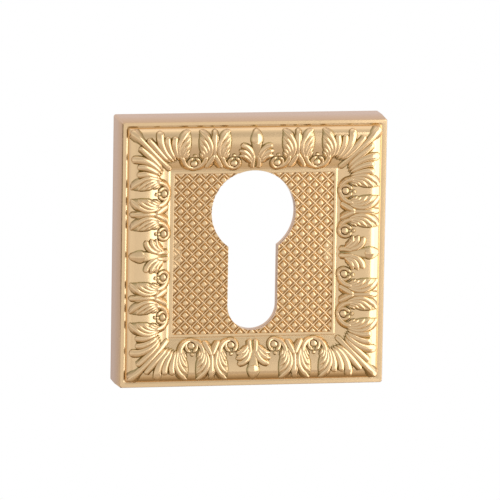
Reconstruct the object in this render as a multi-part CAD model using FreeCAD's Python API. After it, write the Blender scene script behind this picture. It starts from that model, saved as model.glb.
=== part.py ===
import FreeCAD, Part
import math
import os

# Keyhole escutcheon: a square cast cover for a profile lock cylinder, hollow behind.
# It is drawn lying on its back, height along +Z, and turned upright at the end.
# All lengths are in millimetres.

# Block
face_side = 55.0          # across the front, over the rim
wall_draft = 0.22         # lean of each side wall between front and back
corner_radius = 0.5       # upright edges
shell_wall = 1.8          # side wall at the back

# Moulding, from the outside in: bead rim, quirk, cushion, flat band, sunk panel
rim_height = 9.6          # top of the bead above the door
rim_width = 1.15
rim_drop = 0.35           # how far both edges of the bead lie below its top
crest_height = 11.1       # top of the cushion above the door
crest_inset = 3.4         # from the face's edge in to the cushion's crest
band_height = 9.35
band_width = 1.0
band_side = 33.15         # across the inside of the band
panel_height = 8.35       # bottom of the panel's grooves above the door
panel_wall = 1.75         # metal left behind the panel
cushion_wall = 2.3        # metal left behind the cushion's crest

# Lattice of ridges with a stud in each cell
lattice_pitch = 2.54      # from crossing to crossing, along the sides
ridge_rise = 0.74         # ridges above the bottom of the grooves
groove_side = 1.16        # across the square groove, between a ridge and its stud
stud_rise = 0.86          # a stud's point above the bottom of the grooves
sheet_depth = 0.5         # how far the lattice reaches below the grooves into the panel

# Keyhole for a profile cylinder
keyhole_bore = 17.5
keyhole_leg = 10.35
keyhole_bore_up = 8.45    # bore's centre above the middle of the face
keyhole_leg_down = 16.0   # leg's end below the middle of the face

# Tapped bosses for two bolts through the door
bolt_spacing = 38.0
boss_diameter = 8.4
tap_radius = 1.65
tap_depth = 7.0

# Carving
cushion_flats = 3         # narrow flats that make up each of the cushion's two arcs
relief = 0.55             # how far a full leaf stands above the cushion
edge_sink = 0.10          # how far a leaf's edges run under the cushion
leaf_foot = 8.4           # height at which every leaf's body ends, inside the metal
stem_place = 8.65         # from the middle of a side to the spear between two leaves
scroll_place = 4.5        # from the middle of a side to its first scroll
scroll_height = 18.98     # from the middle of the face out to the scrolls
ring_radius = 1.06
ring_width = 0.56
scroll_facets = 8

half_face = face_side / 2.0
half_back = half_face + wall_draft
band_inner = band_side / 2.0
band_outer = band_inner + band_width
quirk_place = half_face - rim_width
quirk_height = rim_height - rim_drop
crest_place = half_face - crest_inset
pocket_half = half_back - shell_wall
pocket_height = panel_height - panel_wall
recess_height = crest_height - cushion_wall
far_scroll_place = 2.0 * stem_place - scroll_place


def fall_radius(run, drop):
    """Radius of an arc that leaves level and drops so far over this run."""
    return (run * run + drop * drop) / (2.0 * drop)


def cushion_stations():
    """Places across the cushion as (out, height), on two arcs that meet level at its crest."""
    inner_radius = fall_radius(crest_place - band_outer, crest_height - band_height)
    outer_radius = fall_radius(quirk_place - crest_place, crest_height - quirk_height)
    stations = []
    for radius, run in ((inner_radius, band_outer - crest_place), (outer_radius, quirk_place - crest_place)):
        turn = math.asin(run / radius)
        angles = [turn * index / cushion_flats for index in range(cushion_flats + 1)]
        stations += [(crest_place + radius * math.sin(a), crest_height - radius * (1.0 - math.cos(a))) for a in angles]
    return sorted(set(stations))


stations = cushion_stations()


def cushion_height(out):
    """Height of the cushion at this distance out from the middle of the face."""
    out = min(max(out, stations[0][0]), stations[-1][0])
    for (near, near_height), (far, far_height) in zip(stations, stations[1:]):
        if out <= far:
            return near_height + (far_height - near_height) * (out - near) / (far - near)
    return stations[-1][1]


def square_of(half, height):
    """Square wire about the middle, at this height."""
    corners = [(-half, -half), (half, -half), (half, half), (-half, half)]
    points = [FreeCAD.Vector(x, y, height) for x, y in corners]
    return Part.makePolygon(points + points[:1])


def mitred_side():
    """One side of the moulding with its share of the panel, mitred at both ends."""
    def at(out, height):
        return FreeCAD.Vector(-half_back, out, height)

    bead_top = at(half_face - rim_width / 2.0, rim_height)
    bead = Part.Arc(at(half_face, quirk_height), bead_top, at(quirk_place, quirk_height))
    flats = [at(out, height) for out, height in stations[::-1]]
    inside = [at(band_inner, band_height), at(band_inner, panel_height), at(0, panel_height)]
    ends = [at(0, 0), at(half_back, 0), at(half_face, quirk_height)]
    rest = Part.makePolygon(flats + inside + ends)
    profile = Part.Face(Part.Wire([bead.toShape()] + rest.Edges))
    bar = profile.extrude(FreeCAD.Vector(2.0 * half_back, 0, 0))
    reach = 2.0 * half_back
    corners = [(0, 0), (reach, reach), (-reach, reach), (0, 0)]
    triangle = Part.makePolygon([FreeCAD.Vector(x, y, 0) for x, y in corners])
    mitre = Part.Face(triangle).extrude(FreeCAD.Vector(0, 0, 2.0 * crest_height))
    return bar.common(mitre)


def turned(shape, quarter):
    """Copy of a shape turned about the middle by quarter turns."""
    copy = shape.copy()
    copy.rotate(FreeCAD.Vector(0, 0, 0), FreeCAD.Vector(0, 0, 1), 90.0 * quarter)
    return copy


def mirrored(shape):
    """Copy of a shape on the other side of a side's middle line."""
    return shape.mirror(FreeCAD.Vector(0, 0, 0), FreeCAD.Vector(1, 0, 0))


def block():
    """Four mitred sides, with the upright edges rounded."""
    sides = [turned(mitred_side(), quarter) for quarter in range(4)]
    whole = sides[0].multiFuse(sides[1:]).removeSplitter()
    rise = 2.0 * crest_height
    top_half = half_back - wall_draft / quirk_height * rise
    low, high = -half_back, half_back
    trimmer = Part.makeWedge(low, 0, low, -top_half, -top_half, high, rise, high, top_half, top_half)
    trimmer.rotate(FreeCAD.Vector(0, 0, 0), FreeCAD.Vector(1, 0, 0), 90.0)
    upright = [e for e in trimmer.Edges if abs(e.Vertexes[0].Z - e.Vertexes[1].Z) > crest_height]
    return whole.common(trimmer.makeFillet(corner_radius, upright))


def solid_of(polygons):
    """Solid closed by flat polygons, each a list of points."""
    faces = [Part.Face(Part.makePolygon(points + points[:1])) for points in polygons]
    return Part.Solid(Part.Shell(faces))


def leaf(points, rise=1.0):
    """One lobe: a ridge of flat facets through (along, out, half width) points on the cushion.

    A half width of nothing brings the lobe to a point just under the cushion.
    """
    sections = []
    for index, (along, out, half) in enumerate(points):
        if not half:
            tip = FreeCAD.Vector(along, out, cushion_height(max(abs(along), out)) - edge_sink)
            sections.append([tip, tip, tip])
            continue
        before = points[index - 1]
        after = points[index + 1]
        length = math.hypot(after[0] - before[0], after[1] - before[1])
        side_x = -(after[1] - before[1]) / length * half
        side_y = (after[0] - before[0]) / length * half
        section = []
        for hand, lift in ((1.0, -edge_sink), (0.0, relief * rise), (-1.0, -edge_sink)):
            x = along + hand * side_x
            y = out + hand * side_y
            section.append(FreeCAD.Vector(x, y, cushion_height(max(abs(x), y)) + lift))
        sections.append(section)

    def foot(point):
        return FreeCAD.Vector(point.x, point.y, leaf_foot)

    outline = [section[0] for section in sections] + [section[2] for section in sections[-2:0:-1]]
    polygons = [[foot(point) for point in outline]]
    polygons += [[foot(a), a, b, foot(b)] for a, b in zip(outline, outline[1:] + outline[:1])]
    for (left, crest, right), (next_left, next_crest, next_right) in zip(sections, sections[1:]):
        if left is not crest:
            polygons += [[left, crest, next_crest], [right, next_crest, crest]]
        if next_left is not next_crest:
            polygons += [[left, next_crest, next_left], [right, next_right, next_crest]]
    return solid_of(polygons)


def placed(lobe, place, hand):
    """Move a lobe's points, drawn from a scroll's axis, to that scroll's place."""
    return [(place + hand * along, out, half) for along, out, half in lobe]


def acanthus(place, hand):
    """Leaf that grows out of a scroll: a strand round the scroll and a fan of lobes."""
    strand = [(-0.35, 18.0, 0), (0.9, 18.1, 0.36), (2.05, 19.0, 0.38), (2.75, 21.0, 0)]
    outer_lobe = [(2.2, 18.9, 0), (2.95, 21.9, 0.52), (2.1, 24.3, 0.88), (0.7, 25.9, 0)]
    middle_lobe = [(2.4, 19.8, 0), (1.75, 22.9, 0.62), (0.75, 23.5, 0)]
    inner_lobe = [(2.2, 19.5, 0), (1.75, 21.5, 0.46), (0.95, 22.4, 0)]
    return [
        leaf(placed(strand, place, hand), 0.85),
        leaf(placed(outer_lobe, place, hand), 1.1),
        leaf(placed(middle_lobe, place, hand), 1.0),
        leaf(placed(inner_lobe, place, hand), 0.85),
    ]


def scroll(place):
    """Scroll: a ring of facets round a dished middle."""
    level = cushion_height(scroll_height)
    outer_radius = ring_radius + ring_width / 2.0
    profile = [
        (outer_radius, leaf_foot),
        (outer_radius, cushion_height(scroll_height - outer_radius) - edge_sink),
        (ring_radius, level + relief * 0.8),
    ]
    rings = []
    for radius, height in profile:
        angles = [2.0 * math.pi * index / scroll_facets for index in range(scroll_facets)]
        points = [(place + radius * math.cos(a), scroll_height + radius * math.sin(a)) for a in angles]
        rings.append([FreeCAD.Vector(x, y, height) for x, y in points])
    eye = FreeCAD.Vector(place, scroll_height, level)
    polygons = [rings[0]]
    for index in range(scroll_facets):
        after = (index + 1) % scroll_facets
        for low, high in zip(rings, rings[1:]):
            polygons.append([low[index], low[after], high[after], high[index]])
        polygons.append([rings[-1][index], rings[-1][after], eye])
    return solid_of(polygons)


def spear():
    """Upright spear between two leaves, on two spread legs."""
    widths = [(19.6, 0), (22.2, 0.42), (24.1, 0.45), (25.4, 0.42), (26.3, 0)]
    leg = [(0.0, 21.0, 0), (0.75, 19.1, 0.45), (1.65, 17.8, 0)]
    return [
        leaf([(stem_place, out, half) for out, half in widths]),
        leaf(placed(leg, stem_place, -1.0), 0.9),
        leaf(placed(leg, stem_place, 1.0), 0.9),
    ]


def palmette_half():
    """Lobes on one side of the palmette at the middle of a side."""
    root = [(0.9, 17.5, 0), (0.76, 18.5, 0.6), (0.6, 20.4, 0)]
    upper = [(0.5, 18.6, 0), (0.95, 21.2, 0.48), (2.0, 22.25, 0.55), (3.35, 22.85, 0)]
    middle = [(0.7, 18.7, 0), (1.6, 20.7, 0.46), (3.65, 21.6, 0)]
    lower = [(0.75, 18.2, 0), (1.5, 19.65, 0.44), (3.55, 20.45, 0)]
    return [leaf(root, 0.9), leaf(upper), leaf(middle, 0.9), leaf(lower, 0.9)]


def bud():
    """Bud above the palmette."""
    return leaf([(0, 21.9, 0), (0, 24.2, 1.25), (0, 25.4, 0.85), (0, 26.4, 0)], 1.1)


def corner_half():
    """Fingers on one side of the corner leaf."""
    first = [(16.1, 19.5, 0), (17.05, 23.4, 0.62), (16.9, 25.0, 0)]
    second = [(16.4, 19.3, 0), (17.9, 21.9, 0.48), (18.4, 23.9, 0.60), (18.4, 25.0, 0)]
    third = [(16.6, 19.1, 0), (18.6, 21.1, 0.47), (20.0, 24.6, 0.68), (20.1, 26.0, 0)]
    fourth = [(17.2, 18.7, 0), (20.2, 21.7, 0.55), (23.0, 24.7, 0)]
    return [leaf(first), leaf(second), leaf(third, 1.15), leaf(fourth)]


def midrib():
    """Rib along the mitre of the corner leaf, from its round foot to the rim."""
    widths = [(17.4, 0), (18.3, 0.85), (19.8, 0.55), (22.5, 0.5), (24.3, 0.5), (26.2, 0)]
    return leaf([(place, place, half) for place, half in widths], 1.1)


def carving():
    """All the carving: an eighth, its mirror image, and both turned round the frame."""
    eighth = palmette_half() + spear() + corner_half()
    eighth += acanthus(scroll_place, 1.0)
    eighth += acanthus(far_scroll_place, -1.0) + acanthus(far_scroll_place, 1.0)
    eighth += [scroll(scroll_place), scroll(far_scroll_place)]
    side = eighth + [mirrored(shape) for shape in eighth] + [bud(), midrib()]
    return [turned(shape, quarter) for quarter in range(4) for shape in side]


def diamond(x, y, size, height):
    """Corners of a square that stands on one corner, at this height."""
    reach = size / math.sqrt(2.0)
    return [FreeCAD.Vector(x + a * reach, y + b * reach, height) for a, b in ((1, 0), (0, 1), (-1, 0), (0, -1))]


def lattice():
    """Sheet of square cells on their corners: sharp ridges all round, a groove, and a pointed stud."""
    step = lattice_pitch / 2.0
    spacing = lattice_pitch / math.sqrt(2.0)
    columns = int(band_inner / step) + 2
    places = range(-columns, columns + 1)
    cells = {(i, j) for i in places for j in places if (i + j) % 2}
    polygons = []
    for i, j in sorted(cells):
        rings = [
            diamond(i * step, j * step, spacing, panel_height + ridge_rise),
            diamond(i * step, j * step, groove_side, panel_height),
        ]
        tip = FreeCAD.Vector(i * step, j * step, panel_height + stud_rise)
        base = diamond(i * step, j * step, spacing, panel_height - sheet_depth)
        polygons.append(base)
        for index in range(4):
            after = (index + 1) % 4
            polygons.append([rings[0][index], rings[0][after], rings[1][after], rings[1][index]])
            polygons.append([rings[1][index], rings[1][after], tip])
            across = ((1, 1), (-1, 1), (-1, -1), (1, -1))[index]
            if (i + across[0], j + across[1]) not in cells:
                polygons.append([rings[0][index], base[index], base[after], rings[0][after]])
    return solid_of(polygons)


def keyhole():
    """Through-cut with the outline of a profile cylinder: a bore over a round-ended leg."""
    through = 2.0 * crest_height
    below = FreeCAD.Vector(0, 0, -crest_height / 2.0)
    bore = Part.makeCylinder(keyhole_bore / 2.0, through, below + FreeCAD.Vector(0, keyhole_bore_up, 0))
    half_leg = keyhole_leg / 2.0
    end = half_leg - keyhole_leg_down
    tip = Part.makeCylinder(half_leg, through, below + FreeCAD.Vector(0, end, 0))
    leg_corner = below + FreeCAD.Vector(-half_leg, end, 0)
    leg = Part.makeBox(keyhole_leg, keyhole_bore_up - end, through, leg_corner)
    return bore.multiFuse([tip, leg]).removeSplitter()


def hollow():
    """Pocket behind the panel, deeper behind the cushion."""
    pocket = Part.Face(square_of(pocket_half, 0)).extrude(FreeCAD.Vector(0, 0, pocket_height))
    upright = [e for e in pocket.Edges if abs(e.Vertexes[0].Z - e.Vertexes[1].Z) > pocket_height / 2.0]
    pocket = pocket.makeChamfer(corner_radius, upright)
    outer = Part.Face(square_of(pocket_half - corner_radius, 0))
    inner = Part.Face(square_of(band_outer + panel_wall / 2.0, 0))
    recess = outer.cut(inner).extrude(FreeCAD.Vector(0, 0, recess_height))
    return pocket.fuse(recess)


def boss(side):
    """Boss for a bolt, level with the back, and the hole tapped in it."""
    radius = boss_diameter / 2.0
    place = FreeCAD.Vector(side * bolt_spacing / 2.0, 0, 0)
    post = Part.makeCylinder(radius, recess_height + edge_sink, place)
    hole = Part.makeCylinder(tap_radius, tap_depth, place)
    return post, hole


def cover():
    """The whole casting, still lying on its back."""
    front = block().multiFuse(carving())
    inside = Part.Face(square_of(band_inner, 0)).extrude(FreeCAD.Vector(0, 0, crest_height))
    front = front.fuse(lattice().common(inside))
    body = front.cut(hollow())
    holes = []
    for side in (-1, 1):
        post, hole = boss(side)
        body = body.fuse(post)
        holes.append(hole)
    return body.cut(keyhole()).cut(holes[0]).cut(holes[1])


def main():
    os.makedirs("parts", exist_ok=True)
    shape = cover()
    shape.rotate(FreeCAD.Vector(0, 0, 0), FreeCAD.Vector(1, 0, 0), 90.0)
    print("solids", len(shape.Solids), "valid", shape.isValid(), "volume", round(shape.Volume, 1))
    shape.Solids[0].exportStep("parts/cover.step")


main()
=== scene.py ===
import math
import bpy
from mathutils import Matrix, Vector


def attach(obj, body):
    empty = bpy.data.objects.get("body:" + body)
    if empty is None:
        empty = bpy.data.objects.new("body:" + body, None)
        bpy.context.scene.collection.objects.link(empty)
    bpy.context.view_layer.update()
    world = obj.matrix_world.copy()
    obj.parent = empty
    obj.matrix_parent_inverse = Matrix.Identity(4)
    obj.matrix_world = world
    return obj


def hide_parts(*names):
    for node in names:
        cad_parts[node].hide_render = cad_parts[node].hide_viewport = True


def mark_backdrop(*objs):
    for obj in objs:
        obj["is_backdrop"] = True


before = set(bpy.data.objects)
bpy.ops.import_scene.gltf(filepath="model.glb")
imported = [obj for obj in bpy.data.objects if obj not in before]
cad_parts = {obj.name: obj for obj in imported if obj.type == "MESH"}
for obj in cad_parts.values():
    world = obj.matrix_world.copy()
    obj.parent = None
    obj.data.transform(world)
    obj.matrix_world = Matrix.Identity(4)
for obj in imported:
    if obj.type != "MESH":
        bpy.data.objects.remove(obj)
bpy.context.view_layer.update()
scene = bpy.context.scene
scene.view_settings.view_transform = "Standard"
print("frame loaded")

# Everything is drawn lying on its back in millimetres: x along a side, y out from the middle,
# z out of the door. standUp() turns a finished piece upright and brings it to metres.
millimetre = 0.001
mergeDistance = 0.0005


# Small helpers for working by hand

def deselectAll():
    bpy.ops.object.select_all(action="DESELECT")


def makeActive(piece):
    deselectAll()
    piece.select_set(True)
    bpy.context.view_layer.objects.active = piece


def named(name):
    piece = bpy.context.active_object
    piece.name = name
    piece.data.name = name
    return piece


def pickFaces(piece, wanted):
    # leaves the piece in edit mode with the wanted faces selected
    makeActive(piece)
    bpy.ops.object.mode_set(mode="EDIT")
    bpy.ops.mesh.select_mode(type="FACE")
    bpy.ops.mesh.select_all(action="DESELECT")
    bpy.ops.object.mode_set(mode="OBJECT")
    for face in piece.data.polygons:
        face.select = wanted(face)
    bpy.ops.object.mode_set(mode="EDIT")


def pickEdges(piece, wanted):
    makeActive(piece)
    bpy.ops.object.mode_set(mode="EDIT")
    bpy.ops.mesh.select_mode(type="EDGE")
    bpy.ops.mesh.select_all(action="DESELECT")
    bpy.ops.object.mode_set(mode="OBJECT")
    points = piece.data.vertices
    for edge in piece.data.edges:
        edge.select = wanted(points[edge.vertices[0]].co, points[edge.vertices[1]].co)
    bpy.ops.object.mode_set(mode="EDIT")


def growRings(stations, centre=(0.0, 0.0)):
    # extrudes the selected face from the first station to the last: each is (half width, height)
    for (half, height), (nextHalf, nextHeight) in zip(stations, stations[1:]):
        bpy.ops.mesh.extrude_region_move(TRANSFORM_OT_translate={"value": (0, 0, nextHeight - height)})
        ratio = nextHalf / half
        bpy.ops.transform.resize(value=(ratio, ratio, 1), center_override=(centre[0], centre[1], 0))


def finishMesh(piece):
    # doubles merged, faces outwards
    makeActive(piece)
    bpy.ops.object.mode_set(mode="EDIT")
    bpy.ops.mesh.select_all(action="SELECT")
    bpy.ops.mesh.remove_doubles(threshold=mergeDistance)
    bpy.ops.mesh.normals_make_consistent(inside=False)
    bpy.ops.object.mode_set(mode="OBJECT")


def applyModifiers(piece):
    makeActive(piece)
    for modifier in list(piece.modifiers):
        bpy.ops.object.modifier_apply(modifier=modifier.name)


def cutWith(piece, cutter, operation="DIFFERENCE"):
    cut = piece.modifiers.new("cut", "BOOLEAN")
    cut.operation = operation
    cut.solver = "EXACT"
    cut.object = cutter
    applyModifiers(piece)


def joined(pieces, name):
    deselectAll()
    for piece in pieces:
        piece.select_set(True)
    bpy.context.view_layer.objects.active = pieces[0]
    bpy.ops.object.join()
    return named(name)


def removePiece(piece):
    makeActive(piece)
    bpy.ops.object.delete()


def standUp(piece):
    # height becomes depth towards the viewer, then the place goes into the mesh
    makeActive(piece)
    piece.rotation_euler = (math.radians(90), 0, 0)
    piece.scale = (millimetre, millimetre, millimetre)
    bpy.ops.object.transform_apply(location=True, rotation=True, scale=True)


# Mouldings of the block, from the outside in

block = {
    "halfBack": 27.72,
    "halfFront": 27.5,
    "cornerRadius": 0.5,
    "cornerSteps": 5,
    "firstHeight": 4.0,       # of the plain slab that the front and back grow from
    "wallTop": 9.2,
    "quirkHalf": 26.35,
    "quirkHeight": 9.50,
    "crestHalf": 24.1,
    "crestHeight": 11.1,
    "cushionFoot": 17.575,
    "bandHeight": 9.35,
    "fineBeadOuter": 17.33,
    "fineBeadTop": 9.41,
    "bandInner": 16.575,
    "bandLip": 0.1,           # the bead's inner foot lies this far under the band
    "panelHeight": 8.3,
    "arcSteps": 14,
    "fineBeadSteps": 6,
}
# the rim from its outer chamfer over the flat top and down to the quirk: half width and height
rimStations = [
    (27.34, 9.58), (27.31, 9.60), (27.28, 9.60), (26.80, 9.58), (26.76, 9.578),
    (26.68, 9.57), (26.61, 9.555), (26.54, 9.535), (26.47, 9.515),
]


def arcRadius(run, drop):
    # of an arc that leaves level and drops so far over this run
    return (run * run + drop * drop) / (2 * drop)


outerRun = block["quirkHalf"] - block["crestHalf"]
innerRun = block["crestHalf"] - block["cushionFoot"]
outerRadius = arcRadius(outerRun, block["crestHeight"] - block["quirkHeight"])
innerRadius = arcRadius(innerRun, block["crestHeight"] - block["bandHeight"])


def groundHeight(along, out):
    # the cushion under the carving
    place = max(abs(along), abs(out))
    if place > block["quirkHalf"]:
        return block["quirkHeight"]
    if place < block["cushionFoot"]:
        return block["bandHeight"]
    radius = outerRadius if place > block["crestHalf"] else innerRadius
    run = place - block["crestHalf"]
    return block["crestHeight"] - radius + math.sqrt(radius * radius - run * run)


def fineBeadStations():
    # a half round along the band's inner edge
    outer, inner, steps = block["fineBeadOuter"], block["bandInner"], block["fineBeadSteps"]
    middle, half = (outer + inner) / 2, (outer - inner) / 2
    foot, rise = block["bandHeight"], block["fineBeadTop"] - block["bandHeight"]
    turns = [math.pi * step / steps for step in range(1, steps)]
    return [(middle + half * math.cos(turn), foot + rise * math.sin(turn)) for turn in turns]


def cushionStations():
    steps = block["arcSteps"]
    outside = [block["quirkHalf"] - outerRun * step / steps for step in range(1, steps)]
    inside = [block["crestHalf"] - innerRun * step / steps for step in range(0, steps)]
    return [(place, groundHeight(0, place)) for place in outside + inside]


back = {
    "pocketHalf": 25.92,
    "pocketHeight": 6.6,
    "stepHalf": 25.42,
    "stepRise": 0.4,
    "recessHeight": 8.75,
    "recessInner": 18.45,
    "bossPlace": 19.0,
    "bossRadius": 4.2,
    "bossSunk": 0.2,          # how far a boss reaches into the metal over it
    "bossSteps": 64,
    "tapRadius": 1.65,
    "tapDepth": 7.0,
    "drillPoint": 0.8,
    "drillTip": 0.05,
    "countersink": 0.35,
}


def makeBlock():
    halfBack, firstHeight = block["halfBack"], block["firstHeight"]
    bpy.ops.mesh.primitive_cube_add(size=1, scale=(2 * halfBack, 2 * halfBack, firstHeight),
                                    location=(0, 0, firstHeight / 2))
    piece = named("castBody")
    bpy.ops.object.transform_apply(location=True, rotation=True, scale=True)
    pickEdges(piece, lambda start, end: abs(start.z - end.z) > 1)
    bpy.ops.mesh.bevel(offset=block["cornerRadius"], segments=block["cornerSteps"], affect="EDGES")
    bpy.ops.object.mode_set(mode="OBJECT")
    # front: wall, rim, quirk, cushion, band with its fine bead, and the panel's floor
    pickFaces(piece, lambda face: face.normal.z > 0.9)
    bandInner, bandHeight = block["bandInner"], block["bandHeight"]
    stations = [(halfBack, firstHeight), (block["halfFront"], block["wallTop"])] + rimStations
    stations += [(block["quirkHalf"], block["quirkHeight"])]
    stations += cushionStations() + [(block["cushionFoot"], bandHeight)]
    stations += [(block["fineBeadOuter"], bandHeight)] + fineBeadStations()
    stations += [(bandInner, bandHeight - block["bandLip"]), (bandInner, block["panelHeight"])]
    growRings(stations)
    bpy.ops.object.mode_set(mode="OBJECT")
    # back: the rim's flat land, the pocket, and the deeper recess behind the cushion
    pickFaces(piece, lambda face: face.normal.z < -0.9)
    growRings([
        (halfBack, 0), (back["pocketHalf"], 0), (back["pocketHalf"], back["pocketHeight"]),
        (back["stepHalf"], back["pocketHeight"] + back["stepRise"]), (back["stepHalf"], back["recessHeight"]),
        (back["recessInner"], back["recessHeight"]), (back["recessInner"], back["pocketHeight"]),
    ])
    bpy.ops.object.mode_set(mode="OBJECT")
    finishMesh(piece)
    return piece


def makeBoss(side):
    radius, height = back["bossRadius"], back["recessHeight"] + back["bossSunk"]
    place = side * back["bossPlace"]
    bpy.ops.mesh.primitive_cylinder_add(vertices=back["bossSteps"], radius=radius, depth=height,
                                        location=(place, 0, height / 2))
    boss = named("boss")
    bpy.ops.object.transform_apply(location=True, rotation=True, scale=True)
    pickFaces(boss, lambda face: face.normal.z < -0.9)
    mouth = back["tapRadius"] + back["countersink"]
    growRings([
        (radius, 0), (mouth, 0), (back["tapRadius"], back["countersink"]),
        (back["tapRadius"], back["tapDepth"]), (back["drillTip"], back["tapDepth"] + back["drillPoint"]),
    ], centre=(place, 0))
    bpy.ops.object.mode_set(mode="OBJECT")
    finishMesh(boss)
    return boss


keyhole = {
    "boreRadius": 8.75,
    "boreUp": 8.45,
    "legHalf": 5.175,
    "legDown": 16.0,
    "steps": 160,
    "cutterDepth": 30.0,
    "legProud": 1.0,          # the leg's cutter is this much longer, so that no ends lie flush
    "legOverlap": 1.0,        # how far under the bore's middle the leg starts
}


def addCutter(name, radius, depth, up):
    bpy.ops.mesh.primitive_cylinder_add(vertices=keyhole["steps"], radius=radius, depth=depth,
                                        location=(0, up, 0))
    cutter = named(name)
    bpy.ops.object.transform_apply(location=True, rotation=True, scale=True)
    return cutter


def makeKeyholeCutter():
    # a bore, a leg, and the leg's round end, made one solid
    depth, boreUp = keyhole["cutterDepth"], keyhole["boreUp"]
    endUp = keyhole["legHalf"] - keyhole["legDown"]
    cutter = addCutter("keyholeCutter", keyhole["boreRadius"], depth, boreUp)
    leg = addCutter("legCutter", keyhole["legHalf"], depth + keyhole["legProud"], endUp)
    # the upper half of the round end is drawn up into the bore
    for point in leg.data.vertices:
        if point.co.y > endUp - 0.001:
            point.co.y += boreUp - endUp - keyhole["legOverlap"]
    cutWith(cutter, leg, "UNION")
    removePiece(leg)
    return cutter


keyholeCutter = makeKeyholeCutter()
castBody = makeBlock()
for side in (-1, 1):
    boss = makeBoss(side)
    cutWith(castBody, boss, "UNION")
    removePiece(boss)
cutWith(castBody, keyholeCutter)
print("block, hollow back, bosses and keyhole made:", len(castBody.data.polygons), "faces")


# Lattice of crossed ridges with a flat-topped stud in each cell

lattice = {
    "pitch": 2.54,            # from crossing to crossing along the sides
    "floor": 8.35,
    "sheetDepth": 0.4,
    "half": 16.6,             # it reaches a little into the band
    "grooveHalf": 0.66,       # ridges lie outside it, the stud inside
    "sag": 0.05,              # how far a rising ridge dips between its crossings
    "studCorner": 0.90,       # how far a stud's corners are drawn in
}
cellSide = lattice["pitch"] / math.sqrt(2)
# one cell, from the middle of its ridges in to the top of its stud: half width and height over the floor
cellStations = [
    (cellSide / 2, 0.82), (0.820, 0.820), (0.785, 0.800), (0.755, 0.745), (0.730, 0.660),
    (0.705, 0.570), (0.680, 0.490), (0.650, 0.445), (0.620, 0.440), (0.590, 0.490),
    (0.560, 0.585), (0.525, 0.675), (0.480, 0.740), (0.415, 0.785), (0.330, 0.800),
]


def shapeCell(piece):
    # ridges sag between their crossings, and a stud's corners draw in
    grooveHalf, onMiddle = lattice["grooveHalf"], 0.01
    ridgeHalf = cellSide / 2 - grooveHalf
    for point in piece.data.vertices:
        across, along = abs(point.co.x), abs(point.co.y)
        if across < onMiddle and along > grooveHalf:
            point.co.z -= lattice["sag"] * (along - grooveHalf) / ridgeHalf
        elif across > onMiddle and along > onMiddle and across < grooveHalf:
            point.co.x *= lattice["studCorner"]
            point.co.y *= lattice["studCorner"]


def repeatCell(piece):
    # a crossing of ridges lies on the middle of the face, and the cells fill a diamond larger than the panel
    reach = math.ceil(lattice["half"] * math.sqrt(2) / cellSide) + 1
    for offset in ((cellSide, 0, 0), (0, cellSide, 0)):
        row = piece.modifiers.new("row", "ARRAY")
        row.count = 2 * reach
        row.use_relative_offset = False
        row.use_constant_offset = True
        row.constant_offset_displace = offset
        row.use_merge_vertices = True
        row.merge_threshold = 2 * mergeDistance
    applyModifiers(piece)
    start = (0.5 - reach) * cellSide
    piece.location = (start, start, 0)
    bpy.ops.object.transform_apply(location=True, rotation=False, scale=False)
    piece.rotation_euler = (0, 0, math.radians(45))
    bpy.ops.object.transform_apply(location=True, rotation=True, scale=False)


def closeBelow(piece):
    # a flat sheet under the lattice, drawn down from its open edges
    makeActive(piece)
    bpy.ops.object.mode_set(mode="EDIT")
    bpy.ops.mesh.select_all(action="SELECT")
    bpy.ops.mesh.remove_doubles(threshold=mergeDistance)
    bpy.ops.mesh.select_all(action="DESELECT")
    bpy.ops.mesh.select_mode(type="EDGE")
    bpy.ops.mesh.select_non_manifold()
    bpy.ops.mesh.extrude_region_move(TRANSFORM_OT_translate={"value": (0, 0, -2.0)})
    under = lattice["floor"] - lattice["sheetDepth"]
    bpy.ops.transform.resize(value=(1, 1, 0), center_override=(0, 0, under))
    bpy.ops.mesh.edge_face_add()
    bpy.ops.object.mode_set(mode="OBJECT")


def makeLattice():
    floor = lattice["floor"]
    bpy.ops.mesh.primitive_grid_add(x_subdivisions=2, y_subdivisions=2, size=cellSide,
                                    location=(0, 0, floor + cellStations[0][1]))
    piece = named("latticePanel")
    bpy.ops.object.transform_apply(location=True, rotation=True, scale=True)
    pickFaces(piece, lambda face: True)
    growRings([(half, floor + rise) for half, rise in cellStations])
    bpy.ops.object.mode_set(mode="OBJECT")
    # extruding leaves the first faces behind
    pickFaces(piece, lambda face: face.area > 0.9 * (cellSide / 2) ** 2)
    bpy.ops.mesh.delete(type="FACE")
    bpy.ops.object.mode_set(mode="OBJECT")
    shapeCell(piece)
    repeatCell(piece)
    # trimmed to the panel
    for normal in ((1, 0, 0), (-1, 0, 0), (0, 1, 0), (0, -1, 0)):
        pickFaces(piece, lambda face: True)
        edge = Vector(normal) * lattice["half"]
        bpy.ops.mesh.bisect(plane_co=edge, plane_no=normal, clear_outer=True)
        bpy.ops.object.mode_set(mode="OBJECT")
    closeBelow(piece)
    finishMesh(piece)
    return piece


latticePanel = makeLattice()
cutWith(latticePanel, keyholeCutter)
removePiece(keyholeCutter)
print("lattice made:", len(latticePanel.data.polygons), "faces")


# Carving: every strand of a leaf is a domed rib that follows the cushion

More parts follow.
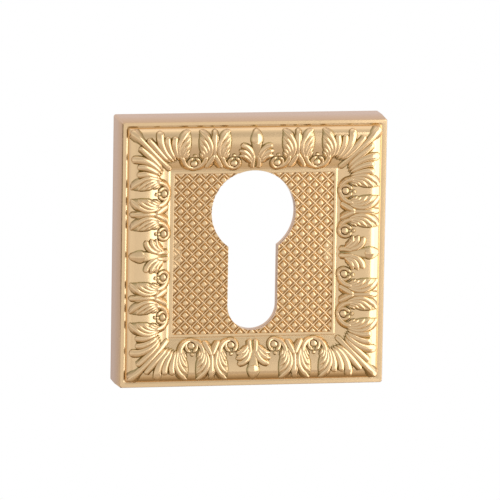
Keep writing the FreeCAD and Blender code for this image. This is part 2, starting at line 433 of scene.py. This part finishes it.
carving = {
    "relief": 0.56,           # a full strand above the cushion
    "fullWidth": 0.40,        # a strand this wide, or wider, has the full relief
    "reliefCurve": 0.8,       # how fast a narrower one loses it
    "bodyRelief": 0.31,       # the body under a leaf's strands
    "bladeRelief": 0.52,      # the spear between two leaves
    "bluntness": 0.75,        # 1 ends a strand in a half circle
    "steps": 5,               # between two places of a strand
    "stem": 8.65,             # from the middle of a side to the spear between two leaves
    "scroll": 4.5,            # from the middle of a side to the first scroll's eye
    "scrollOut": 18.98,
    "ringRadius": 1.12,
    "ringHalf": 0.29,
    "ringEndHalf": 0.16,
    "ringSteps": 14,
    "ringStart": 105,         # degrees, and the ring is open for the rest of its turn
    "ringSweep": 330,
    "eyeRadius": 0.68,
    "eyeLift": 0.28,
    "eyeFlatness": 0.24,
    "eyeSteps": 24,
}
# cross-sections: how domed, how full (the lower, the more of a roof), and points on the dome
sections = {
    "strand": {"crown": 0.54, "roundness": 2.0, "steps": 9},
    "low": {"crown": 0.28, "roundness": 1.2, "steps": 12},
    "body": {"crown": 0.12, "roundness": 3.0, "steps": 12},
}
# the spreading sides that every section has, in half widths
sectionFoot = [(1.12, -0.12), (2.02, -0.88), (2.10, -1.6)]
farScroll = 2 * carving["stem"] - carving["scroll"]

# Each strand: places (along, out, half width). An end width above 0 gives a round tip.
leafStrands = [
    [(0.0, 17.95, 0.2), (0.8, 18.12, 0.34), (1.5, 18.5, 0.40), (2.08, 19.15, 0.43), (2.38, 20.0, 0.40),
     (2.6, 21.2, 0.0)],
    [(2.35, 19.0, 0.0), (2.98, 20.4, 0.36), (3.34, 21.6, 0.42), (3.32, 22.7, 0.46), (2.96, 23.65, 0.49),
     (2.42, 24.45, 0.50), (1.82, 25.10, 0.46), (1.20, 25.66, 0.34)],
    [(2.35, 19.3, 0.0), (2.68, 20.5, 0.32), (2.80, 21.5, 0.39), (2.60, 22.4, 0.43), (2.18, 23.22, 0.42),
     (1.64, 23.86, 0.37), (1.02, 24.36, 0.20)],
    [(2.25, 19.4, 0.0), (2.44, 20.4, 0.32), (2.36, 21.2, 0.40), (2.06, 21.95, 0.42), (1.60, 22.6, 0.36),
     (1.02, 23.15, 0.18)],
    [(2.1, 19.4, 0.0), (2.12, 20.2, 0.30), (1.95, 20.9, 0.36), (1.62, 21.45, 0.33), (1.16, 21.95, 0.16)],
    [(1.62, 19.6, 0.0), (1.66, 20.2, 0.26), (1.46, 20.75, 0.28), (1.08, 21.15, 0.14)],
]
leafBodies = [
    [(1.95, 19.6, 0.35), (2.3, 20.5, 0.78), (2.38, 21.4, 1.10), (2.26, 22.4, 1.34), (2.02, 23.4, 1.20),
     (1.72, 24.4, 0.95), (1.38, 25.2, 0.56)],
]
spearBodies = [
    [(0.0, 22.4, 0.0), (0.0, 23.3, 0.52), (0.0, 24.1, 0.70), (0.0, 24.7, 0.62), (0.0, 25.1, 0.0)],
]
palmetteBodies = [[(0.9, 19.3, 0.3), (1.35, 20.4, 0.62), (1.95, 21.2, 0.90), (2.65, 21.5, 0.80)]]
spearBlades = [
    [(0.0, 19.6, 0.0), (0.0, 20.8, 0.32), (0.0, 22.5, 0.34), (0.0, 24.5, 0.36), (0.0, 25.8, 0.37)],
]
spearTails = [
    [(0.02, 21.4, 0.0), (-0.32, 20.3, 0.42), (-0.95, 19.15, 0.54), (-1.50, 18.2, 0.44)],
    [(-0.02, 21.4, 0.0), (0.32, 20.3, 0.42), (0.95, 19.15, 0.54), (1.50, 18.2, 0.44)],
]
palmetteStrands = [
    [(0.65, 18.12, 0.48), (0.69, 19.0, 0.45), (0.52, 20.2, 0.32), (0.40, 21.2, 0.0)],
    [(0.5, 19.0, 0.0), (0.78, 20.5, 0.42), (1.3, 21.65, 0.56), (2.1, 22.35, 0.58), (2.95, 22.62, 0.42)],
    [(0.7, 18.8, 0.0), (1.1, 19.9, 0.40), (1.72, 20.8, 0.50), (2.5, 21.36, 0.50), (3.36, 21.52, 0.30)],
    [(0.8, 18.4, 0.0), (1.15, 19.3, 0.42), (1.75, 20.0, 0.45), (2.5, 20.42, 0.42), (3.36, 20.48, 0.24)],
]
cornerStrands = [
    [(15.95, 19.5, 0.0), (16.42, 20.7, 0.44), (16.8, 21.9, 0.54), (17.0, 23.1, 0.64), (16.9, 24.2, 0.62)],
    [(16.4, 19.4, 0.0), (17.3, 20.7, 0.48), (18.0, 22.0, 0.58), (18.4, 23.2, 0.64), (18.47, 24.15, 0.58)],
    [(16.7, 19.2, 0.0), (17.8, 20.2, 0.46), (18.85, 21.4, 0.60), (19.6, 22.8, 0.74), (19.95, 24.1, 0.84),
     (20.0, 25.15, 0.80)],
    [(17.3, 19.0, 0.0), (18.8, 20.2, 0.48), (20.1, 21.5, 0.60), (21.3, 22.85, 0.62), (22.3, 23.95, 0.50)],
]
midribStrands = [
    [(17.9, 17.9, 0.68), (18.4, 18.4, 0.70), (19.4, 19.4, 0.62), (21.5, 21.5, 0.58), (23.5, 23.5, 0.60),
     (25.5, 25.5, 0.64)],
]
budStrands = [
    [(0.0, 22.8, 0.0), (0.0, 23.3, 0.96), (0.0, 23.9, 1.24), (0.0, 24.6, 1.02), (0.0, 25.2, 0.74),
     (0.0, 25.75, 0.50)],
]
heartBodies = [
    [(0.0, 18.1, 0.22), (0.0, 19.3, 0.26), (0.0, 20.4, 0.44), (0.0, 21.5, 0.74), (0.0, 22.4, 0.92),
     (0.0, 23.1, 1.0), (0.0, 23.7, 0.8)],
]
# two small curls where a scroll opens
curlStrands = [
    [(0.62, 20.0, 0.20), (0.92, 19.68, 0.24)],
    [(-0.14, 20.56, 0.22), (0.22, 20.62, 0.26)],
]


def smoothPath(points, steps):
    # places along a smooth line through the points, widths too
    knots = [Vector(point) for point in points]
    knots = [2 * knots[0] - knots[1]] + knots + [2 * knots[-1] - knots[-2]]
    path = []
    for before, start, end, after in zip(knots, knots[1:], knots[2:], knots[3:]):
        for step in range(steps):
            t = step / steps
            path.append(0.5 * (2 * start + (end - before) * t
                               + (2 * before - 5 * start + 4 * end - after) * t ** 2
                               + (3 * start - before - 3 * end + after) * t ** 3))
    path.append(knots[-2])
    return path


def roundTip(path):
    # a blunt round end past the last place
    last, before = path[-1], path[-2]
    ahead = Vector((last.x - before.x, last.y - before.y, 0)).normalized()
    tip = []
    for degrees in (25, 45, 62, 76, 88):
        turn = math.radians(degrees)
        place = last + ahead * last.z * carving["bluntness"] * math.sin(turn)
        tip.append(Vector((place.x, place.y, last.z * math.cos(turn) ** carving["bluntness"])))
    return tip


def strandPoints(points, relief):
    # places with their half widths, and how high the crest is over the cushion at each
    path = smoothPath(points, carving["steps"])
    fullness = [min(1, max(place.z, 0) / carving["fullWidth"]) for place in path]
    crests = [relief * full ** carving["reliefCurve"] for full in fullness]
    ends = [(path, crests)]
    if points[-1][2] > 0:
        tip = roundTip(path)
        ends.append((tip, [crests[-1] * place.z / path[-1].z for place in tip]))
    if points[0][2] > 0:
        start = roundTip(path[::-1])
        ends.insert(0, (start[::-1], [crests[0] * place.z / path[0].z for place in start[::-1]]))
    return [(place, crest) for places, heights in ends for place, crest in zip(places, heights)]


def makeSection(name):
    # cross-section of a strand: a dome on spreading sides
    crown, roundness, steps = (sections[name][key] for key in ("crown", "roundness", "steps"))
    outline = sectionFoot[::-1]
    for step in range(steps + 1):
        across = math.cos(math.pi * step / steps)
        outline.append((across, crown * max(0, 1 - abs(across) ** roundness) ** (1 / roundness)))
    outline += [(-across, up) for across, up in sectionFoot]
    curve = bpy.data.curves.new(name, "CURVE")
    curve.dimensions = "2D"
    spline = curve.splines.new("POLY")
    spline.points.add(len(outline) - 1)
    for point, (across, up) in zip(spline.points, outline):
        point.co = (across, up, 0, 1)
    spline.use_cyclic_u = True
    section = bpy.data.objects.new(name, curve)
    scene.collection.objects.link(section)
    return section


def makeStrands(name, strands, section, relief):
    crown = sections[section.name]["crown"]
    curve = bpy.data.curves.new(name, "CURVE")
    curve.dimensions = "3D"
    curve.twist_mode = "Z_UP"
    curve.bevel_mode = "OBJECT"
    curve.bevel_object = section
    curve.use_fill_caps = True
    for strand in strands:
        places = strandPoints(strand, relief)
        spline = curve.splines.new("POLY")
        spline.points.add(len(places) - 1)
        for point, (place, crest) in zip(spline.points, places):
            width = max(place.z, 0.01)
            height = groundHeight(place.x, place.y) + crest - crown * width
            point.co = (place.x, place.y, height, 1)
            point.radius = width
    piece = bpy.data.objects.new(name, curve)
    scene.collection.objects.link(piece)
    makeActive(piece)
    bpy.ops.object.convert(target="MESH")
    return bpy.context.active_object


def moved(strands, along, hand=1):
    return [[(along + hand * x, y, width) for x, y, width in strand] for strand in strands]


def scrollStrand():
    # a ring round the eye, open for a little at its outer side
    radius, steps = carving["ringRadius"], carving["ringSteps"]
    strand = []
    for step in range(steps + 1):
        turn = math.radians(carving["ringStart"] + carving["ringSweep"] * step / steps)
        width = carving["ringEndHalf"] if step in (0, steps) else carving["ringHalf"]
        strand.append((radius * math.cos(turn), carving["scrollOut"] + radius * math.sin(turn), width))
    return strand


def makeEye(along):
    steps, out = carving["eyeSteps"], carving["scrollOut"]
    height = groundHeight(along, out) + carving["eyeLift"]
    bpy.ops.mesh.primitive_uv_sphere_add(segments=steps, ring_count=steps // 2, radius=carving["eyeRadius"],
                                         location=(along, out, height))
    eye = bpy.context.active_object
    eye.scale = (1, 1, carving["eyeFlatness"])
    bpy.ops.object.transform_apply(location=True, rotation=True, scale=True)
    return eye


def turnedCopies(piece, count):
    # each copy has its own mesh
    copies = [piece]
    for turn in range(1, count):
        makeActive(piece)
        bpy.ops.object.duplicate()
        copy = bpy.context.active_object
        copy.rotation_euler = (0, 0, turn * 2 * math.pi / count)
        bpy.ops.object.transform_apply(location=True, rotation=True, scale=True)
        copies.append(copy)
    return copies


def makeSide():
    # one side's carving, from the middle to the corner and mirrored, then the parts on its middle line
    relief, bodyRelief = carving["relief"], carving["bodyRelief"]
    strand, low, body = (makeSection(name) for name in ("strand", "low", "body"))
    stem, scroll = carving["stem"], carving["scroll"]
    strands = moved(spearTails, stem) + palmetteStrands + cornerStrands
    bodies = palmetteBodies + moved(spearBodies, stem)
    for along, hand in ((scroll, 1), (farScroll, -1), (farScroll, 1)):
        strands += moved(leafStrands, along, hand)
        bodies += moved(leafBodies, along, hand)
    for along, hand in ((scroll, 1), (farScroll, -1)):
        strands += moved([scrollStrand()] + curlStrands, along, hand)
    half = joined([
        makeStrands("strands", strands, strand, relief),
        makeStrands("bodies", bodies, body, bodyRelief),
        makeStrands("blade", moved(spearBlades, stem), low, carving["bladeRelief"]),
        makeEye(scroll), makeEye(farScroll),
    ], "halfSide")
    mirror = half.modifiers.new("mirror", "MIRROR")
    mirror.use_mirror_merge = False
    applyModifiers(half)
    side = joined([
        half,
        makeStrands("midrib", midribStrands, strand, relief),
        makeStrands("bud", budStrands, low, relief),
        makeStrands("heart", heartBodies, body, bodyRelief),
    ], "carvedTop")
    finishMesh(side)
    for section in (strand, low, body):
        removePiece(section)
    return side


def makeCarving():
    sides = turnedCopies(makeSide(), 4)
    for piece, name in zip(sides, ("carvedTop", "carvedLeft", "carvedBottom", "carvedRight")):
        piece.name = name
        piece.data.name = name
    return sides


carvedSides = makeCarving()
print("carving made:", [len(piece.data.polygons) for piece in carvedSides], "faces")


# Finishes

finish = {
    "gold": (0.87, 0.63, 0.37, 1),
    "drift": (0.95, 0.93, 0.90),          # how the gold tones down where it drifts
    "shade": (0.39, 0.30, 0.13, 1),       # painted shade and patina in the grooves
    "roughness": 0.20,
    "dulling": 0.12,                      # how much rougher a groove is
    "hollowReach": 0.0004,                # metres over which the painted shade in a groove reaches
    "hollowSamples": 12,
    "hollowDark": 0.35,                   # how open the darkest groove is, and a surface with no painted shade
    "hollowUnshaded": 0.88,
    "footTop": 0.18,                      # millimetres over the cushion that hold the full painted shade
    "footFade": 0.15,
    "driftScale": 180.0,
    "driftDetail": 3.0,
    "grainScale": 900.0,
    "grainDetail": 4.0,
    "grainStrength": 0.05,
    "grainDepth": 0.0001,
}
# how much painted shade and patina the grooves of each part hold
tarnishAndPaintedShade = {"carving": 0.75, "lattice": 0.32, "rim": 0.2, "plain": 0.4}
tarnishAndShadePlaces = {"rim": 26.05, "front": 9.0}


def cushionTarnishAndPaintedShade(point):
    # painted shade and patina in the hollows: most under the carving, less on the band and the back, least on
    # the rim and the walls
    out = max(abs(point.x), abs(point.y))
    if point.z > tarnishAndShadePlaces["front"] and block["cushionFoot"] < out < tarnishAndShadePlaces["rim"]:
        return tarnishAndPaintedShade["carving"]
    return tarnishAndPaintedShade["rim"] if out > tarnishAndShadePlaces["rim"] else tarnishAndPaintedShade["plain"]


def levelness(along, out):
    # 1 on the crest, less where the cushion slopes
    place = max(abs(along), abs(out))
    if not block["cushionFoot"] < place < block["quirkHalf"]:
        return 1
    radius = outerRadius if place > block["crestHalf"] else innerRadius
    return math.sqrt(1 - ((place - block["crestHalf"]) / radius) ** 2)


def paintedFootShade(point):
    # painted shade and patina, darkest where the side of a strand meets the cushion, none on its back
    above = (point.z - groundHeight(point.x, point.y)) * levelness(point.x, point.y)
    return 1 - min(1, max(0, (above - finish["footTop"]) / finish["footFade"]))


def addLayer(piece, name, amount):
    layer = piece.data.attributes.new(name, "FLOAT", "POINT")
    for point, value in zip(piece.data.vertices, layer.data):
        value.value = amount(point.co)


def addNode(tree, kind, **settings):
    node = tree.nodes.new(kind)
    for key, value in settings.items():
        setattr(node, key, value)
    return node


def addNoise(tree, place, name):
    noise = addNode(tree, "ShaderNodeTexNoise")
    noise.inputs["Scale"].default_value = finish[name + "Scale"]
    noise.inputs["Detail"].default_value = finish[name + "Detail"]
    tree.links.new(place.outputs["Object"], noise.inputs["Vector"])
    return noise


def makeGilding():
    material = bpy.data.materials.new("gildedCasting")
    material.use_nodes = True
    tree = material.node_tree
    link = tree.links.new
    surface = tree.nodes["Principled BSDF"]
    surface.inputs["Metallic"].default_value = 1.0
    place = addNode(tree, "ShaderNodeTexCoord")
    # painted shade and patina: grooves are darker than the raised work, by how hemmed in each point is
    hollow = addNode(tree, "ShaderNodeAmbientOcclusion", samples=finish["hollowSamples"])
    hollow.inputs["Distance"].default_value = finish["hollowReach"]
    depth = addNode(tree, "ShaderNodeMapRange")
    depth.inputs["From Min"].default_value = finish["hollowDark"]
    depth.inputs["From Max"].default_value = finish["hollowUnshaded"]
    link(hollow.outputs["AO"], depth.inputs["Value"])
    shadeAmount = addNode(tree, "ShaderNodeAttribute", attribute_name="tarnishAndPaintedShade")
    unshaded = addNode(tree, "ShaderNodeMix", data_type="FLOAT")
    unshaded.inputs["A"].default_value = 1.0
    link(shadeAmount.outputs["Fac"], unshaded.inputs["Factor"])
    link(depth.outputs["Result"], unshaded.inputs["B"])
    # and painted shade and patina, darkest where a strand's side meets the cushion
    foot = addNode(tree, "ShaderNodeAttribute", attribute_name="foot")
    backOfStrand = addNode(tree, "ShaderNodeMath", operation="SUBTRACT")
    backOfStrand.inputs[0].default_value = 1.0
    link(foot.outputs["Fac"], backOfStrand.inputs[1])
    bright = addNode(tree, "ShaderNodeMath", operation="MULTIPLY")
    link(unshaded.outputs["Result"], bright.inputs[0])
    link(backOfStrand.outputs[0], bright.inputs[1])
    # slow drift of tone over the plating
    drift = addNoise(tree, place, "drift")
    tone = addNode(tree, "ShaderNodeMix", data_type="RGBA")
    toned = [part * factor for part, factor in zip(finish["gold"], finish["drift"])]
    tone.inputs["A"].default_value = (*toned, 1)
    tone.inputs["B"].default_value = finish["gold"]
    link(drift.outputs["Fac"], tone.inputs["Factor"])
    colour = addNode(tree, "ShaderNodeMix", data_type="RGBA")
    colour.inputs["A"].default_value = finish["shade"]
    link(bright.outputs[0], colour.inputs["Factor"])
    link(tone.outputs["Result"], colour.inputs["B"])
    link(colour.outputs["Result"], surface.inputs["Base Color"])
    # the grooves are duller
    polish = addNode(tree, "ShaderNodeMapRange")
    polish.inputs["To Min"].default_value = finish["roughness"] + finish["dulling"]
    polish.inputs["To Max"].default_value = finish["roughness"]
    link(bright.outputs[0], polish.inputs["Value"])
    link(polish.outputs["Result"], surface.inputs["Roughness"])
    # faint unevenness of a polished casting
    grain = addNoise(tree, place, "grain")
    bump = addNode(tree, "ShaderNodeBump")
    bump.inputs["Strength"].default_value = finish["grainStrength"]
    bump.inputs["Distance"].default_value = finish["grainDepth"]
    link(grain.outputs["Fac"], bump.inputs["Height"])
    link(bump.outputs["Normal"], surface.inputs["Normal"])
    return material


gilding = makeGilding()
# layers for the painted shade and patina in the hollows, and at the foot of each strand
addLayer(castBody, "tarnishAndPaintedShade", cushionTarnishAndPaintedShade)
addLayer(latticePanel, "tarnishAndPaintedShade", lambda point: tarnishAndPaintedShade["lattice"])
for piece in carvedSides:
    addLayer(piece, "tarnishAndPaintedShade", lambda point: tarnishAndPaintedShade["carving"])
    addLayer(piece, "foot", paintedFootShade)
# edges stay sharp from this angle up, in degrees
smoothing = {"castBody": 26, "latticePanel": 30}
carvingSmoothing = 48
for piece in [castBody, latticePanel] + carvedSides:
    standUp(piece)
    piece.data.materials.clear()
    piece.data.materials.append(gilding)
    makeActive(piece)
    sharpFrom = smoothing.get(piece.name, carvingSmoothing)
    bpy.ops.object.shade_smooth_by_angle(angle=math.radians(sharpFrom))
    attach(piece, "root")
    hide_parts("cover")
print("finishes made")


# Studio: the object as it hangs on its door, a floor below, a white card behind, and soft lamps

studio = {
    "azimuth": -11.321,       # degrees, the viewer's place
    "elevation": 10.072,
    "roll": 0.960,
    "distance": 1.2,
    "aimRight": 0.001113,
    "aimUp": -0.000951,
    "focalPixels": 5824.38,
    "pictureWidth": 500,
    "sensor": 36,
    "cardSize": 0.17,
    "cardBehind": 0.45,
    "floorSize": 1.8,
    "floorHeight": -0.30,
    "lowCardSize": 0.2,
    "lowCardPlace": (0, -0.02, -0.12),
    "sideCardSize": 0.12,
    "sideCardPlace": (-0.21, 0.12, 0),
    "sideCardFacing": (0.835, -0.55, 0),
}
cloths = {
    "floor": (0.82, 0.77, 0.69, 1),
    "paper": (0.8, 0.8, 0.8, 1),
    "lowFront": (0.78, 0.70, 0.57, 1),
    "lowBehind": (0.34, 0.24, 0.12, 1),
    "side": (0.30, 0.25, 0.20, 1),
    "roughness": 0.9,
}
lowCardFade = (-0.10, 0.025)  # from its front colour to the one behind, along y


def direction(azimuth, elevation):
    # degrees round from the front to the right, and up
    azimuth, elevation = math.radians(azimuth), math.radians(elevation)
    level = math.cos(elevation)
    return Vector((math.sin(azimuth) * level, -math.cos(azimuth) * level, math.sin(elevation)))


def viewAxes():
    towards = direction(studio["azimuth"], studio["elevation"])
    roll = math.radians(studio["roll"])
    right = (-towards).cross(Vector((0, 0, 1))).normalized()
    up = right.cross(-towards)
    return right * math.cos(roll) + up * math.sin(roll), up * math.cos(roll) - right * math.sin(roll), towards


def placed(thing, right, up, towards, place):
    thing.matrix_world = Matrix.Translation(place) @ Matrix((right, up, towards)).transposed().to_4x4()


right, up, towards = viewAxes()
aim = right * studio["aimRight"] + up * studio["aimUp"]
cameraData = bpy.data.cameras.new("camera")
cameraData.sensor_width = studio["sensor"]
cameraData.lens = studio["focalPixels"] * studio["sensor"] / studio["pictureWidth"]
cameraData.clip_start = 0.01
camera = bpy.data.objects.new("camera", cameraData)
scene.collection.objects.link(camera)
placed(camera, right, up, towards, towards * studio["distance"] + aim)
scene.camera = camera


def makeCardMaterial():
    # white to the eye and in reflections, a plain white card to everything else
    material = bpy.data.materials.new("whiteCard")
    material.use_nodes = True
    tree = material.node_tree
    tree.nodes.remove(tree.nodes["Principled BSDF"])
    link = tree.links.new
    paths = addNode(tree, "ShaderNodeLightPath")
    seen = addNode(tree, "ShaderNodeMath", operation="MAXIMUM")
    link(paths.outputs["Is Camera Ray"], seen.inputs[0])
    link(paths.outputs["Is Glossy Ray"], seen.inputs[1])
    either = addNode(tree, "ShaderNodeMath", operation="MAXIMUM")
    link(seen.outputs[0], either.inputs[0])
    link(paths.outputs["Is Transmission Ray"], either.inputs[1])
    paper = addNode(tree, "ShaderNodeBsdfDiffuse")
    paper.inputs["Color"].default_value = cloths["paper"]
    white = addNode(tree, "ShaderNodeEmission")
    white.inputs["Color"].default_value = (1, 1, 1, 1)
    white.inputs["Strength"].default_value = 1.0
    mix = addNode(tree, "ShaderNodeMixShader")
    link(either.outputs[0], mix.inputs["Fac"])
    link(paper.outputs[0], mix.inputs[1])
    link(white.outputs[0], mix.inputs[2])
    link(mix.outputs[0], tree.nodes["Material Output"].inputs["Surface"])
    return material


def makePlainMaterial(name, colour):
    material = bpy.data.materials.new(name)
    material.use_nodes = True
    surface = material.node_tree.nodes["Principled BSDF"]
    surface.inputs["Base Color"].default_value = colour
    surface.inputs["Roughness"].default_value = cloths["roughness"]
    return material


def makeFadingMaterial(name, front, behind, start, end):
    # a cloth that darkens from front to back
    material = makePlainMaterial(name, front)
    tree = material.node_tree
    link = tree.links.new
    place = addNode(tree, "ShaderNodeTexCoord")
    parts = addNode(tree, "ShaderNodeSeparateXYZ")
    link(place.outputs["Object"], parts.inputs[0])
    fade = addNode(tree, "ShaderNodeMapRange")
    fade.inputs["From Min"].default_value = start
    fade.inputs["From Max"].default_value = end
    link(parts.outputs["Y"], fade.inputs["Value"])
    colour = addNode(tree, "ShaderNodeMix", data_type="RGBA")
    colour.inputs["A"].default_value = front
    colour.inputs["B"].default_value = behind
    link(fade.outputs["Result"], colour.inputs["Factor"])
    link(colour.outputs["Result"], tree.nodes["Principled BSDF"].inputs["Base Color"])
    return material


def makePlane(name, size, material):
    bpy.ops.mesh.primitive_plane_add(size=size)
    plane = named(name)
    plane.data.materials.append(material)
    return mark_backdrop(plane) or plane


card = makePlane("backdrop", studio["cardSize"], makeCardMaterial())
placed(card, right, up, towards, -towards * studio["cardBehind"] + aim)
floor = makePlane("floor", studio["floorSize"], makePlainMaterial("paleFloor", cloths["floor"]))
floor.location = (0, 0, studio["floorHeight"])
fading = makeFadingMaterial("fadingCloth", cloths["lowFront"], cloths["lowBehind"], *lowCardFade)
lowCard = makePlane("lowCard", studio["lowCardSize"], fading)
lowCard.location = studio["lowCardPlace"]
sideCard = makePlane("sideCard", studio["sideCardSize"], makePlainMaterial("darkCloth", cloths["side"]))
facing = Vector(studio["sideCardFacing"]).normalized()
placed(sideCard, Vector((0, 0, 1)), facing.cross(Vector((0, 0, 1))), facing, Vector(studio["sideCardPlace"]))
for cloth in (lowCard, sideCard):
    cloth.visible_camera = False
    cloth.visible_diffuse = False


# lamps that face the object: azimuth, elevation, distance, width, height, radiance and colour
softboxes = {
    "rightBox": (35.5, 8, 0.18, 0.082, 0.17, 1.9, (1, 1, 1)),
    "sideBox": (69.2, 0, 0.0489, 0.0238, 0.11, 1.5, (1, 1, 1)),
    "leftBox": (-60, -5, 0.5, 0.5, 0.5, 0.06, (1, 0.98, 0.95)),
    "topBox": (10, 82, 0.5, 0.4, 0.25, 0.2, (1, 0.98, 0.96)),
}
for name, (azimuth, elevation, distance, width, height, radiance, colour) in softboxes.items():
    lampData = bpy.data.lights.new(name, "AREA")
    lampData.shape = "RECTANGLE"
    lampData.size = width
    lampData.size_y = height
    lampData.energy = radiance * math.pi * width * height
    lampData.color = colour
    lamp = bpy.data.objects.new(name, lampData)
    scene.collection.objects.link(lamp)
    lamp.visible_camera = False
    lamp.location = direction(azimuth, elevation) * distance
    lamp.rotation_euler = direction(azimuth, elevation).to_track_quat("Z", "Y").to_euler()


# how bright the room in front is, by the sine of the height
roomLevels = [
    (-0.36, 1.0), (-0.26, 1.32), (-0.17, 0.98), (0.10, 0.70),
    (0.44, 0.63), (0.67, 0.70), (0.86, 0.88), (0.98, 1.0),
]
room = {
    "tint": (1, 0.99, 0.97),
    "behind": (0.705, 0.64, 0.68, 1),
    "frontToBehind": (-0.3, 0.7),         # along y
    "lowToLevel": (-0.7, 0.0),            # along z
    "lowStrength": 0.3,
}


def makeWorld():
    # a room that is dim above the viewer, and brighter overhead, rosy behind the object, dark below
    world = bpy.data.worlds.new("studio")
    scene.world = world
    world.use_nodes = True
    tree = world.node_tree
    link = tree.links.new
    place = addNode(tree, "ShaderNodeTexCoord")
    parts = addNode(tree, "ShaderNodeSeparateXYZ")
    link(place.outputs["Generated"], parts.inputs[0])
    rise = addNode(tree, "ShaderNodeMapRange")
    rise.inputs["From Min"].default_value = -1.0
    link(parts.outputs["Z"], rise.inputs["Value"])
    front = addNode(tree, "ShaderNodeValToRGB")
    stops = front.color_ramp.elements
    stops.remove(stops[0])
    for number, (sine, level) in enumerate(roomLevels):
        stop = stops[0] if number == 0 else stops.new((sine + 1) / 2)
        stop.position = (sine + 1) / 2
        stop.color = (*(level * part for part in room["tint"]), 1)
    link(rise.outputs["Result"], front.inputs["Fac"])
    depth = addNode(tree, "ShaderNodeMapRange")
    depth.inputs["From Min"].default_value, depth.inputs["From Max"].default_value = room["frontToBehind"]
    link(parts.outputs["Y"], depth.inputs["Value"])
    level = addNode(tree, "ShaderNodeMix", data_type="RGBA")
    level.inputs["B"].default_value = room["behind"]
    link(front.outputs["Color"], level.inputs["A"])
    link(depth.outputs["Result"], level.inputs["Factor"])
    height = addNode(tree, "ShaderNodeMapRange")
    height.inputs["From Min"].default_value, height.inputs["From Max"].default_value = room["lowToLevel"]
    height.inputs["To Min"].default_value = room["lowStrength"]
    height.inputs["To Max"].default_value = 1.0
    link(parts.outputs["Z"], height.inputs["Value"])
    shade = tree.nodes["Background"]
    link(level.outputs["Result"], shade.inputs["Color"])
    link(height.outputs["Result"], shade.inputs["Strength"])


makeWorld()
print("studio made")
